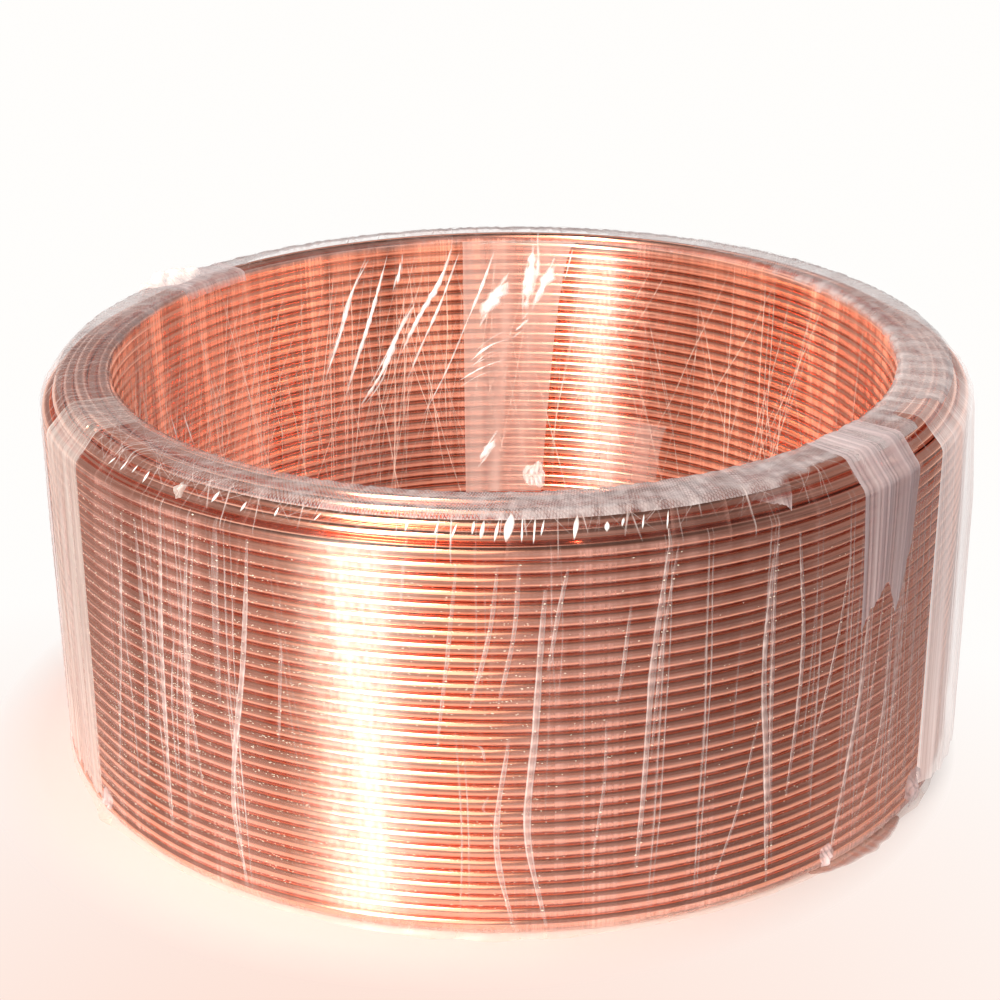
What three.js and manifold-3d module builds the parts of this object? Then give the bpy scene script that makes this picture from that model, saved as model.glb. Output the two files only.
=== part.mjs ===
// A level-wound coil of copper tube standing on its end, wrapped in clear stretch film.
// Units are millimetres, +Z is up, and the coil's axis is the Z axis. The film rests on z = 0.
import * as THREE from 'three';
import Module from 'manifold-3d';
import { mergeVertices } from 'three/addons/utils/BufferGeometryUtils.js';

// Copper tube and how it is wound.
const tubeDiameter = 9.52;
const turnPitch = 9.52;
const layerPitch = 8.6;
const boreDiameter = 610;
const turnsPerLayer = 32;
const grooveDepth = 4.2;

// Turns that each layer, from the bore outward, falls short of the full width at each end.
const bottomStep = [0, 0.5, 0, 0.5, 0, 0.5];
const topStep = [0, 0.5, 0, 0.5, 1, 1.5];

// Stretch film, drawn round the ring's section. It lies flat on top from the bore to the shoulder.
const filmThickness = 0.5;
const filmGap = 0.3;
const filmShoulderLayer = 3;

// Places on the top rim that the film passes miss: the middle angle and the width along the rim.
const filmWindows = [
  { angle: 197, width: 118 },
  { angle: 327, width: 34 },
];
const windowDepth = 21;
const windowHeight = 26;
const cutterMargin = 6;

// How the round is drawn: sides to a full turn, and the half angle of the flat along each crest of tube.
const segments = 28;
const crestAngle = 33;

const layerCount = topStep.length;
const boreRadius = boreDiameter / 2;
const coilHeight = turnPitch * (turnsPerLayer - 1) + tubeDiameter;
const coilBase = filmThickness + filmGap;
const coilTop = coilBase + coilHeight;
const tubeRadius = tubeDiameter / 2;
const innerLayer = boreRadius + tubeRadius;
const outerLayer = innerLayer + layerPitch * (layerCount - 1);
const outerRadius = outerLayer + tubeRadius;
const crestHalf = tubeRadius * Math.sin(THREE.MathUtils.degToRad(crestAngle));

const layerRadius = (layer) => innerLayer + layerPitch * layer;
const layerFloor = (layer) => coilBase + bottomStep[layer] * turnPitch;
const layerCeiling = (layer) => coilTop - topStep[layer] * turnPitch;

// Crests and grooves up one wall of the coil, from the lowest turn to the highest.
function wallOutline(layer, outward) {
  const crest = layerRadius(layer) + outward * tubeRadius;
  const groove = crest - outward * grooveDepth;
  const lowest = layerFloor(layer) + tubeRadius;
  const turns = Math.round((layerCeiling(layer) - tubeRadius - lowest) / turnPitch);
  const points = [];
  for (let turn = 0; turn <= turns; turn += 1) {
    const height = lowest + turn * turnPitch;
    points.push([crest, height - crestHalf]);
    points.push([crest, height + crestHalf]);
    if (turn < turns) points.push([groove, height + turnPitch / 2]);
  }
  return points;
}

// The rings that the layers show on one end, from the bore outward.
function endOutline(level, upward) {
  const points = [];
  for (let layer = 0; layer < layerCount; layer += 1) {
    points.push([layerRadius(layer), level(layer)]);
    if (layer < layerCount - 1) {
      const recessed = upward * Math.min(upward * level(layer), upward * level(layer + 1));
      points.push([layerRadius(layer) + layerPitch / 2, recessed - upward * grooveDepth]);
    }
  }
  return points;
}

function coilOutline() {
  return [
    ...endOutline(layerFloor, -1),
    ...wallOutline(layerCount - 1, 1),
    ...endOutline(layerCeiling, 1).reverse(),
    ...wallOutline(0, -1).reverse(),
  ];
}

// The convex band that stretched film makes round the coil's section, counter-clockwise.
function bandOutline() {
  const outermost = layerCount - 1;
  return [
    [boreRadius, coilBase],
    [layerRadius(outermost - 1), coilBase],
    [layerRadius(outermost), layerFloor(outermost)],
    [outerRadius, layerFloor(outermost) + tubeRadius - crestHalf],
    [outerRadius, layerCeiling(outermost) - tubeRadius + crestHalf],
    [layerRadius(outermost), layerCeiling(outermost)],
    [layerRadius(filmShoulderLayer) + tubeRadius, coilTop],
    [boreRadius, coilTop],
  ];
}

// Moves every side of a convex counter-clockwise outline outward by one distance.
function offsetOutline(points, distance) {
  return points.map((corner, index) => {
    const before = points[(index + points.length - 1) % points.length];
    const after = points[(index + 1) % points.length];
    const incoming = new THREE.Vector2(corner[0] - before[0], corner[1] - before[1]).normalize();
    const outgoing = new THREE.Vector2(after[0] - corner[0], after[1] - corner[1]).normalize();
    const bisector = new THREE.Vector2(incoming.y + outgoing.y, -incoming.x - outgoing.x).normalize();
    const reach = distance / (bisector.x * incoming.y - bisector.y * incoming.x);
    return [corner[0] + bisector.x * reach, corner[1] + bisector.y * reach];
  });
}

// Turns a closed counter-clockwise outline of [radius, height] pairs about the Z axis.
function turned(points) {
  const profile = [...points, points[0]].map(([radius, height]) => new THREE.Vector2(radius, height));
  const geometry = new THREE.LatheGeometry(profile, segments);
  geometry.rotateX(Math.PI / 2);
  return geometry;
}

const wasm = await Module();
wasm.setup();

function toSolid(geometry) {
  const bare = geometry.clone();
  bare.deleteAttribute('normal');
  bare.deleteAttribute('uv');
  const merged = mergeVertices(bare, 1e-4);
  return new wasm.Manifold(new wasm.Mesh({
    numProp: 3,
    vertProperties: new Float32Array(merged.attributes.position.array),
    triVerts: new Uint32Array(merged.index.array),
  }));
}

function toGeometry(solid) {
  const mesh = solid.getMesh();
  const geometry = new THREE.BufferGeometry();
  geometry.setAttribute('position', new THREE.BufferAttribute(mesh.vertProperties, 3));
  geometry.setIndex(new THREE.BufferAttribute(mesh.triVerts, 1));
  geometry.computeVertexNormals();
  return geometry;
}

// A block over the top outer corner of the film, turned to the window's place on the rim.
function windowCutter({ angle, width }) {
  const depth = windowDepth + cutterMargin;
  const height = windowHeight + cutterMargin;
  const block = new THREE.BoxGeometry(depth, width, height);
  block.translate(outerRadius + cutterMargin - depth / 2, 0, coilTop + cutterMargin - height / 2);
  block.rotateZ(THREE.MathUtils.degToRad(angle));
  return toSolid(block);
}

function filmSolid() {
  const outside = toSolid(turned(offsetOutline(bandOutline(), filmGap + filmThickness)));
  const inside = toSolid(turned(offsetOutline(bandOutline(), filmGap)));
  const shell = outside.subtract(inside);
  return filmWindows.reduce((film, place) => film.subtract(windowCutter(place)), shell);
}

const copperMaterial = new THREE.MeshStandardMaterial({ color: 0xc9674a, roughness: 0.32, metalness: 1 });
const filmMaterial = new THREE.MeshStandardMaterial({
  color: 0xe6dcdc,
  roughness: 0.2,
  metalness: 0,
  transparent: true,
  opacity: 0.35,
});

const copperCoil = new THREE.Mesh(turned(coilOutline()), copperMaterial);
copperCoil.name = 'copper_coil';

const stretchFilm = new THREE.Mesh(toGeometry(filmSolid()), filmMaterial);
stretchFilm.name = 'stretch_film';

const wrappedCoil = new THREE.Group();
wrappedCoil.add(copperCoil, stretchFilm);

export default wrappedCoil;
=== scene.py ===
import math
import bpy
import numpy as np
from mathutils import Matrix, Vector


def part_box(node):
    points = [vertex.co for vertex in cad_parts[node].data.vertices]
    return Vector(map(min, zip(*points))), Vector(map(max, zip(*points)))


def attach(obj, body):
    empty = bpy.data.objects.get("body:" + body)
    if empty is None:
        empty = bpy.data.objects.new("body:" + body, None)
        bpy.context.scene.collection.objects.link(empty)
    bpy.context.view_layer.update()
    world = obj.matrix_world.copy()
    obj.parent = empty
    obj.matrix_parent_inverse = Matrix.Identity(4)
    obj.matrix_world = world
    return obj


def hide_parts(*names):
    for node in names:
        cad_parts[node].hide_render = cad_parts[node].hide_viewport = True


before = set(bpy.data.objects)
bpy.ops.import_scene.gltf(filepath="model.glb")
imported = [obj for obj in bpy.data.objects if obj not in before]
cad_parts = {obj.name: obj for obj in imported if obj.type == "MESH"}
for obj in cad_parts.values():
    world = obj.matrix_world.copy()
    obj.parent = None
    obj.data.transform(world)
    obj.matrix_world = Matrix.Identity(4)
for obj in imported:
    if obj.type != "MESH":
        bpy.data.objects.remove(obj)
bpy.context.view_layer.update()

coilLow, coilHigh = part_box("copper_coil")
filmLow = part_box("stretch_film")[0]

# how the tube is wound, in metres; the steps are turns that a layer falls short of the full width
winding = dict(
    tube=0.00952,
    turnPitch=0.00952,
    layerPitch=0.0086,
    bottomStep=(0, 0.5, 0, 0.5, 0, 0),
    topStep=(0, 0.5, 0, 0.5, 1, 1.5),
)
fullTurn = 2 * math.pi
tubeRadius = winding["tube"] / 2
layerCount = len(winding["topStep"])
outermost = layerCount - 1
shoulderLayer = 3  # the last layer that the film lies flat on
outerRadius = coilHigh[0]
boreRadius = outerRadius - winding["tube"] - winding["layerPitch"] * outermost


def layerRadius(layer):
    return boreRadius + tubeRadius + winding["layerPitch"] * layer


def layerFloor(layer):
    return coilLow[2] + winding["bottomStep"][layer] * winding["turnPitch"]


def layerCeiling(layer):
    return coilHigh[2] - winding["topStep"][layer] * winding["turnPitch"]


# arrays of any matching shapes, side by side on a last axis
def together(*parts):
    return np.stack(np.broadcast_arrays(*parts), -1)


def roundAxis(reach, angle, height):
    return together(reach * np.cos(angle), reach * np.sin(angle), height)


def placed(name, data):
    item = bpy.data.objects.new(name, data)
    bpy.context.collection.objects.link(item)
    return item


# a mesh from rows and columns of points, with a map in metres that its materials follow
def gridMesh(name, points, mapping, closedColumns=False, closedRows=False, keep=None, caps=False,
             values=None):
    rows, columns = points.shape[:2]
    rowSteps = rows if closedRows else rows - 1
    columnSteps = columns if closedColumns else columns - 1
    i, j = np.meshgrid(np.arange(rowSteps), np.arange(columnSteps), indexing="ij")
    ahead, beside = (i + 1) % rows, (j + 1) % columns
    quads = together(i * columns + j, ahead * columns + j, ahead * columns + beside, i * columns + beside)
    corners = np.stack([mapping[i, j], mapping[i + 1, j], mapping[i + 1, j + 1], mapping[i, j + 1]], -2)
    shown = np.ones((rowSteps, columnSteps), bool) if keep is None else keep[:rowSteps, :columnSteps]
    used = np.unique(quads[shown])
    faces = np.searchsorted(used, quads[shown]).tolist()
    loops = corners[shown].reshape(-1, 2)
    if caps:
        faces += [list(range(columns))[::-1], list(range((rows - 1) * columns, rows * columns))]
        loops = np.concatenate([loops, np.zeros((2 * columns, 2))])
    mesh = bpy.data.meshes.new(name)
    mesh.from_pydata(points.reshape(-1, 3)[used].tolist(), [], faces)
    mesh.uv_layers.new(name="lie").data.foreach_set("uv", loops.astype(np.float32).ravel())
    for label, amounts in (values or {}).items():
        amounts = np.broadcast_to(amounts, points.shape[:2]).astype(np.float32).ravel()[used]
        mesh.attributes.new(label, "FLOAT", "POINT").data.foreach_set("value", amounts)
    mesh.polygons.foreach_set("use_smooth", [True] * len(mesh.polygons))
    return placed(name, mesh)


# a sheet or strand of film; haze says how solid it looks
def filmMesh(name, points, mapping, haze, least=0, most=1, **settings):
    return gridMesh(name, points, mapping, values={"haze": np.clip(haze, least, most)}, **settings)


def joined(name, parts):
    bpy.ops.object.select_all(action="DESELECT")
    for part in parts:
        part.select_set(True)
    bpy.context.view_layer.objects.active = parts[0]
    bpy.ops.object.join()
    parts[0].name = name
    parts[0].data.name = name
    return parts[0]


def finished(piece, material, node):
    piece.data.materials.clear()
    piece.data.materials.append(material)
    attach(piece, "root")
    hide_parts(node)
    return piece


# film is thin and clear, so it neither shades the copper nor shows in it
def finishedFilm(piece, material):
    piece.visible_shadow = False
    piece.visible_diffuse = False
    piece.visible_glossy = False
    return finished(piece, material, "stretch_film")


# a smooth wander over an angle and a length, the same each run
def wander(angle, seed, waves, lowest, highest, along=0, drift=0):
    picks = np.random.default_rng(seed)
    total = np.zeros(np.broadcast(angle, along).shape)
    for _ in range(waves):
        count = picks.integers(lowest, highest + 1)
        total += np.sin(count * angle + drift * picks.uniform(-1, 1) * along + picks.uniform(0, fullTurn))
    return total / math.sqrt(waves)


def band(values, low, high, fade):
    return np.clip((values - low) / fade, 0, 1) * np.clip((high - values) / fade, 0, 1)


# how far round an angle lies from a middle one, in degrees
def apart(angle, middle):
    return (np.degrees(angle) - middle + 180) % 360 - 180


# a table of (angle in degrees, amount), read at an angle
def tableAt(angle, table):
    return np.interp(apart(angle, 0), *zip(*table))


# soft swells round the coil, each a middle and a half width in degrees and an amount
def swells(angle, stretches):
    return sum(add * np.exp(-(apart(angle, middle) / half) ** 2) for middle, half, add in stretches)


def scattered(picks, stretches):
    return [picks.uniform(first, last) for first, last, count in stretches for _ in range(count)]


# a strand's width and strength, from thin and weak at 0 to wide and strong at 1
def strandSize(look, strong):
    return (np.interp(strong, (0, 1), look[key]) for key in ("width", "strength"))


def addNode(tree, kind, **settings):
    node = tree.nodes.new(kind)
    for key, value in settings.items():
        if key in node.inputs:
            node.inputs[key].default_value = value
        else:
            setattr(node, key, value)
    return node


def blankMaterial(name, **constants):
    material = bpy.data.materials.new(name)
    material.use_nodes = True
    tree = material.node_tree
    tree.nodes.clear()
    shader = addNode(tree, "ShaderNodeBsdfPrincipled", **constants)
    output = addNode(tree, "ShaderNodeOutputMaterial")
    tree.links.new(shader.outputs[0], output.inputs["Surface"])
    return material, tree, shader


# links a socket's value, or sets a plain one
def feed(tree, socket, value):
    if isinstance(value, bpy.types.NodeSocket):
        tree.links.new(value, socket)
    else:
        socket.default_value = value


def mathNode(tree, operation, first, second=0.0):
    node = addNode(tree, "ShaderNodeMath", operation=operation)
    feed(tree, node.inputs[0], first)
    feed(tree, node.inputs[1], second)
    return node.outputs[0]


def ramp(tree, source, low, high, toLow=0, toHigh=1):
    node = addNode(tree, "ShaderNodeMapRange")
    tree.links.new(source, node.inputs["Value"])
    for socket, value in zip(("From Min", "From Max", "To Min", "To Max"), (low, high, toLow, toHigh)):
        node.inputs[socket].default_value = value
    return node.outputs[0]


def blendColours(tree, amount, first, second):
    node = addNode(tree, "ShaderNodeMix", data_type="RGBA")
    feed(tree, node.inputs[6], first)
    feed(tree, node.inputs[7], second)
    tree.links.new(amount, node.inputs["Factor"])
    return node.outputs[2]


def meshValue(tree, label):
    return addNode(tree, "ShaderNodeAttribute", attribute_name=label).outputs["Fac"]


# carries the "lie" map to a texture, scaled along and across or turned by an angle in degrees
def lieTexture(tree, texture, scale=(1, 1), turn=0.0):
    place = addNode(tree, "ShaderNodeUVMap", uv_map="lie")
    laid = addNode(tree, "ShaderNodeMapping", Scale=(*scale, 1), Rotation=(0, 0, math.radians(turn)))
    tree.links.new(place.outputs[0], laid.inputs["Vector"])
    tree.links.new(laid.outputs[0], texture.inputs["Vector"])
    return texture.outputs["Fac"]


def lieNoise(tree, scale, detail):
    return lieTexture(tree, addNode(tree, "ShaderNodeTexNoise", Scale=1.0, Detail=detail), scale)


# noise in the finishes is given as repeats a metre along and across
copperLook = dict(
    bright=(0.94, 0.46, 0.32, 1),
    aged=(0.84, 0.33, 0.21, 1),
    roughness=(0.15, 0.23),
    streaks=(11, 700),
)


def copperFinish():
    material, tree, shader = blankMaterial("brightCopper", Metallic=1.0)
    streaks = lieNoise(tree, copperLook["streaks"], 1.0)
    tone = blendColours(tree, ramp(tree, streaks, 0.35, 0.75), copperLook["bright"], copperLook["aged"])
    tree.links.new(tone, shader.inputs["Base Color"])
    tree.links.new(ramp(tree, streaks, 0.3, 0.75, *copperLook["roughness"]), shader.inputs["Roughness"])
    return material


# the hidden turns' copper is painted darker than the bright copper, as shade in the gaps between the turns
hiddenLook = dict(lit=(0.60, 0.18, 0.10, 1), deep=(0.42, 0.11, 0.07, 1), roughness=0.5, streaks=(30, 300))


def hiddenFinish():
    material, tree, shader = blankMaterial("shadedHiddenTurns", Metallic=1.0, Roughness=hiddenLook["roughness"])
    streaks = lieNoise(tree, hiddenLook["streaks"], 0.0)
    tone = blendColours(tree, streaks, hiddenLook["lit"], hiddenLook["deep"])
    tree.links.new(tone, shader.inputs["Base Color"])
    return material


filmSheen = dict(Metallic=0.1, Roughness=0.3)
# tint is copper colour painted into the clear film for the copper's light in it; inside is the orange of the
# painted glow in the bore, and glow a faint painted glow everywhere
clearLook = dict(
    tint=(0.84, 0.45, 0.38, 1),
    inside=(0.96, 0.33, 0.19, 1),
    glow=0.12,
    wave=0.0008,  # how deep the film dips between two crests
    fine=(420, 5),
    wide=(75, 4),
    edge=0.35,
)


# clear wrap: milkier along each crest of tube that it is drawn over; its copper tint and faint glow are
# painted light from the copper under it, and in the bore a stronger painted glow stands for the light that
# goes to and fro between the copper walls
def clearFinish():
    material, tree, shader = blankMaterial("clearFilm", **filmSheen)
    bounceGlow = meshValue(tree, "bounceGlow")
    tone = blendColours(tree, bounceGlow, clearLook["tint"], clearLook["inside"])
    tree.links.new(tone, shader.inputs["Base Color"])
    tree.links.new(tone, shader.inputs["Emission Color"])
    tree.links.new(mathNode(tree, "ADD", bounceGlow, clearLook["glow"]), shader.inputs["Emission Strength"])
    haze, grip = meshValue(tree, "haze"), meshValue(tree, "grip")
    crest = mathNode(tree, "COSINE", mathNode(tree, "MULTIPLY", meshValue(tree, "turn"), fullTurn))
    loose = mathNode(tree, "MULTIPLY", grip, ramp(tree, crest, -0.5, 0.6, 1, 0))
    touch = mathNode(tree, "SUBTRACT", 1.0, loose)
    fine = ramp(tree, lieNoise(tree, clearLook["fine"], 1.0), 0.35, 0.7, 0.7, 1.35)
    wide = ramp(tree, lieNoise(tree, clearLook["wide"], 0.0), 0.35, 0.65, 0.75, 1.25)
    streaks = mathNode(tree, "MULTIPLY", fine, wide)
    facing = addNode(tree, "ShaderNodeLayerWeight", Blend=0.25).outputs["Facing"]
    edge = mathNode(tree, "MULTIPLY", mathNode(tree, "POWER", facing, 4.0), clearLook["edge"])
    body = mathNode(tree, "MULTIPLY", mathNode(tree, "MULTIPLY", haze, touch), streaks)
    tree.links.new(mathNode(tree, "ADD", body, edge), shader.inputs["Alpha"])
    wave = addNode(tree, "ShaderNodeBump", Strength=1.0, Distance=clearLook["wave"])
    tree.links.new(mathNode(tree, "MULTIPLY", grip, crest), wave.inputs["Height"])
    tree.links.new(wave.outputs[0], shader.inputs["Normal"])
    return material


# film drawn into strands and folds; glow is painted light, standing for the light that a crease gathers
def strandFinish(name, tint, shine, roughness, glow):
    material, tree, shader = blankMaterial(name, Metallic=shine, Roughness=roughness)
    shader.inputs["Base Color"].default_value = tint
    shader.inputs["Emission Color"].default_value = tint
    shader.inputs["Emission Strength"].default_value = glow
    uneven = ramp(tree, lieNoise(tree, (300, 120), 0.0), 0.3, 0.7, 0.8, 1.2)
    tree.links.new(mathNode(tree, "MULTIPLY", meshValue(tree, "haze"), uneven), shader.inputs["Alpha"])
    return material


# milky film with slits; each set of slits is a pitch in metres, a turn in degrees and how wide they open
crossedLook = dict(
    dark=(0.46, 0.38, 0.385, 1),
    pale=(0.66, 0.59, 0.595, 1),
    # a dark colour, blended in as painted shade over the rim on the left
    paintedShade=(0.20, 0.12, 0.11, 1),
    clouds=(70, 90),
    slits=((0.0019, 12, 0.34), (0.0023, -35, 0.28)),
    wavesToMetre=20 / fullTurn,  # a wave texture of scale 1 repeats this often
)


# thin lines side by side, a little uneven
def slitLines(tree, pitch, turn, half):
    scale = 1 / crossedLook["wavesToMetre"] / pitch
    wave = addNode(tree, "ShaderNodeTexWave", Scale=scale, Distortion=2.2, Detail=1.5)
    wave.inputs["Detail Scale"].default_value = 0.9
    return ramp(tree, lieTexture(tree, wave, turn=turn), half * 0.4, half, 1, 0)


# passes crossing on the rim, with dark slits left between them, and a dark colour blended in as painted shade
# on the left
def rimFinish():
    material, tree, shader = blankMaterial("crossedFilm", **filmSheen)
    cloud = lieNoise(tree, crossedLook["clouds"], 2.0)
    tone = blendColours(tree, ramp(tree, cloud, 0.35, 0.65), crossedLook["dark"], crossedLook["pale"])
    shaded = blendColours(tree, meshValue(tree, "paintedShade"), tone, crossedLook["paintedShade"])
    tree.links.new(shaded, shader.inputs["Base Color"])
    slits = mathNode(tree, "MAXIMUM", *(slitLines(tree, *lines) for lines in crossedLook["slits"]))
    deep = mathNode(tree, "MULTIPLY", ramp(tree, cloud, 0.44, 0.60, 1, 0.35), meshValue(tree, "open"))
    shown = mathNode(tree, "SUBTRACT", 1.0, mathNode(tree, "MULTIPLY", slits, deep))
    tree.links.new(mathNode(tree, "MULTIPLY", meshValue(tree, "haze"), shown), shader.inputs["Alpha"])
    return material


# film gathered into fine lengthwise folds; glow is painted light, standing for the light that comes through it
def bandFinish(name, tint, dark, glow, fine=420):
    material, tree, shader = blankMaterial(name, **filmSheen)
    shader.inputs["Emission Color"].default_value = tint
    shader.inputs["Emission Strength"].default_value = glow
    lines = lieNoise(tree, (fine, 3), 1.0)
    tree.links.new(blendColours(tree, ramp(tree, lines, 0.35, 0.62), dark, tint), shader.inputs["Base Color"])
    streaks = ramp(tree, lines, 0.35, 0.65, 0.86, 1.12)
    tree.links.new(mathNode(tree, "MULTIPLY", meshValue(tree, "haze"), streaks), shader.inputs["Alpha"])
    return material


brightCopper = copperFinish()
shadedHiddenTurns = hiddenFinish()
clearFilm = clearFinish()
# all but the strands glow strongly as painted light: warm bounce light on the bore threads, painted highlights
# on the folds, gleams and specks
strandFilm = strandFinish("strandFilm", (0.85, 0.72, 0.70, 1), 0.1, 0.3, 0.05)
boreThread = strandFinish("boreThread", (1.0, 0.74, 0.62, 1), 0.0, 0.3, 0.42)
foldFilm = strandFinish("foldFilm", (1.0, 0.97, 0.94, 1), 0.0, 0.25, 0.45)
gleamFilm = strandFinish("gleamFilm", (1.0, 0.96, 0.84, 1), 0.0, 0.25, 0.50)
glintFilm = strandFinish("glintFilm", (1.0, 0.88, 0.70, 1), 0.0, 0.25, 0.40)
crossedFilm = rimFinish()
gatheredFilm = bandFinish("gatheredFilm", (0.74, 0.61, 0.61, 1), (0.66, 0.53, 0.55, 1), 0.11, 150)
paleFilm = bandFinish("paleFilm", (0.84, 0.79, 0.75, 1), (0.68, 0.58, 0.55, 1), 0.08)
slackFilm = bandFinish("slackFilm", (0.96, 0.74, 0.67, 1), (0.92, 0.65, 0.57, 1), 0.14, 70)
# the veil glows most, painted light on the right veil and the rim knot
veilFilm = bandFinish("veilFilm", (1.0, 0.90, 0.86, 1), (0.94, 0.76, 0.70, 1), 0.50)
# shadeFilm is dark film laid on the floor as a painted shadow
shadeFilm = bandFinish("shadeFilm", (0.48, 0.26, 0.22, 1), (0.40, 0.20, 0.17, 1), 0.0, 200)
hemFilm = bandFinish("hemFilm", (0.95, 0.62, 0.48, 1), (0.88, 0.50, 0.38, 1), 0.10)
print("materials are made")

turnsLook = dict(perTurn=120, sides=12, thinner=0.00006, drift=0.00035, sway=0.00035, outerShort=20)


# one helix of tube: radius and height are arrays along the angle; each turn strays a little in its own way
def woundTube(name, angle, radius, height, seed):
    turn = np.floor((angle - angle[0]) / fullTurn)
    loose = wander(angle * 0.37 + turn * 1.7, seed, 7, 1, 5)
    radius = radius + turnsLook["sway"] * (np.abs(loose) - 1) * 0.5
    height = height + turnsLook["drift"] * wander(angle * 0.61 + turn * 2.3, seed + 1, 7, 1, 5) * 0.5
    around = np.linspace(0, fullTurn, turnsLook["sides"], endpoint=False)
    size = tubeRadius - turnsLook["thinner"]
    reach = radius[:, None] + size * np.cos(around)
    points = roundAxis(reach, angle[:, None], height[:, None] + size * np.sin(around))
    along = (angle - angle[0]) * radius.mean()
    girth = np.linspace(0, fullTurn * size, turnsLook["sides"] + 1)
    mapping = together(along[:, None], girth[None, :])
    return gridMesh(name, points, mapping, closedColumns=True, caps=True)


def stepAngles(steps):
    return np.arange(0, steps) * fullTurn / turnsLook["perTurn"]


# a layer's turns from its floor up; the last one may stop a few steps short
def wallTurns(name, layer, seed, short=0):
    low = layerFloor(layer) + tubeRadius
    high = layerCeiling(layer) - tubeRadius
    turns = (high - low) / winding["turnPitch"] + 1
    angle = stepAngles(turns * turnsLook["perTurn"] + 1 - short)
    rise = np.clip((angle / fullTurn - 0.5) * winding["turnPitch"], 0, high - low)
    return woundTube(name, angle, np.full(len(angle), layerRadius(layer)), low + rise, seed)


# starts are angles in degrees, under the gathered film; a turn lies level before it dips under the next one
endLook = dict(starts={1: 148, 2: -44, 3: -152, 4: -42}, turns=1.9, level=0.9)


# the last turns of a middle layer at one end
def endTurns(layer, edge, direction, seed):
    angle = stepAngles(endLook["turns"] * turnsLook["perTurn"]) + math.radians(endLook["starts"][layer])
    swept = (angle - angle[0]) / fullTurn
    dip = np.clip(swept - endLook["level"], 0, 2) * winding["turnPitch"]
    height = edge + direction * (tubeRadius + dip)
    return woundTube(f"endTurn{seed}", angle, np.full(len(angle), layerRadius(layer)), height, 40 + seed)


outerTurns = wallTurns("outerTurns", outermost, 11, short=turnsLook["outerShort"])
innerTurns = wallTurns("innerTurns", 0, 13)
middleLayers = range(1, outermost)
topTurns = joined("topTurns", [endTurns(layer, layerCeiling(layer), -1, layer) for layer in middleLayers])
bottomTurns = joined("bottomTurns",
                     [endTurns(layer, layerFloor(layer), 1, layer + 10) for layer in middleLayers])
for piece in (outerTurns, innerTurns, topTurns, bottomTurns):
    finished(piece, brightCopper, "copper_coil")

heartLook = dict(steps=128, inset=0.0012, shoulderDip=1.2)


# a dark ring behind the shown turns, where the hidden ones lie; its darker copper is painted shade for the
# gaps between the turns
def coilHeart():
    inner, outer = layerRadius(0) + heartLook["inset"], layerRadius(outermost) - heartLook["inset"]
    low, high = coilLow[2] + winding["tube"], layerCeiling(outermost) - winding["tube"]
    outline = [
        (inner, low),
        (outer, low),
        (outer, high),
        (layerRadius(outermost - 1), high + tubeRadius),
        (layerRadius(shoulderLayer), coilHigh[2] - winding["tube"] * heartLook["shoulderDip"]),
        (inner, coilHigh[2] - winding["tube"]),
    ]
    angle = np.linspace(0, fullTurn, heartLook["steps"], endpoint=False)[:, None]
    reach, height = np.array(outline).T
    swept = np.arange(heartLook["steps"] + 1) * fullTurn / heartLook["steps"] * outer
    mapping = together(swept[:, None], np.arange(len(outline) + 1)[None, :] * 0.05)
    points = roundAxis(reach, angle, height[None, :])
    return gridMesh("coilHeart", points, mapping, closedColumns=True, closedRows=True)


finished(coilHeart(), shadedHiddenTurns, "copper_coil")
print("turns are wound")

wrapLook = dict(rounding=0.0035, mostOfEdge=0.45, clear=0.0003, spacing=0.0005, bend=8)


# the place where the rounding of a corner meets one of its edges
def roundingEnd(corner, other):
    edge = other - corner
    return corner + edge.normalized() * min(wrapLook["rounding"], edge.length * wrapLook["mostOfEdge"])


# the line that stretched film takes round the coil's section, from the middle of its underside
def wrapLine():
    low, high = coilLow[2], coilHigh[2]
    corners = [
        (layerRadius(outermost - 1), low),
        (layerRadius(outermost), layerFloor(outermost)),
        (outerRadius, layerFloor(outermost) + tubeRadius),
        (outerRadius, layerCeiling(outermost) - tubeRadius),
        (layerRadius(outermost), layerCeiling(outermost)),
        (layerRadius(shoulderLayer) + tubeRadius, high),
        (boreRadius, high),
        (boreRadius, low),
    ]
    start = Vector(((boreRadius + layerRadius(outermost - 1)) / 2, low))
    corners = [start] + [Vector(corner) for corner in corners] + [start]
    shares = np.linspace(0, 1, wrapLook["bend"] + 1)
    line, places = [start], []
    for before, corner, after in zip(corners, corners[1:], corners[2:]):
        enter, leave = roundingEnd(corner, before), roundingEnd(corner, after)
        places.append(len(line) + wrapLook["bend"] // 2)
        line += [enter.lerp(corner, t).lerp(corner.lerp(leave, t), t) for t in shares]
    points = np.array([tuple(point) for point in line + [start]])
    reach = np.concatenate([[0], np.cumsum(np.linalg.norm(np.diff(points, axis=0), axis=1))])
    return points, reach, reach[places]


wrapPoints, wrapReach, wrapPlaces = wrapLine()
wrapLength = wrapReach[-1]
outerLowAt, outerHighAt, outerTopAt, shoulderAt, boreHighAt, boreLowAt = wrapPlaces[2:]


def wrapSection(along):
    def place(shift):
        here = np.mod(along + shift, wrapLength)
        return [np.interp(here, wrapReach, wrapPoints[:, k]) for k in (0, 1)]

    radius, height = place(0)
    ahead, behind = place(wrapLook["spacing"]), place(-wrapLook["spacing"])
    run = together(ahead[0] - behind[0], ahead[1] - behind[1])
    run /= np.linalg.norm(run, axis=-1, keepdims=True)
    return radius, height, run[..., 1], -run[..., 0]


# points on the film at an angle, a length along the wrap line and a lift off the copper
def onFilm(angle, along, lift):
    radius, height, outward, upward = wrapSection(along)
    clear = wrapLook["clear"] + lift
    return roundAxis(radius + outward * clear, angle, height + upward * clear)


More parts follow.
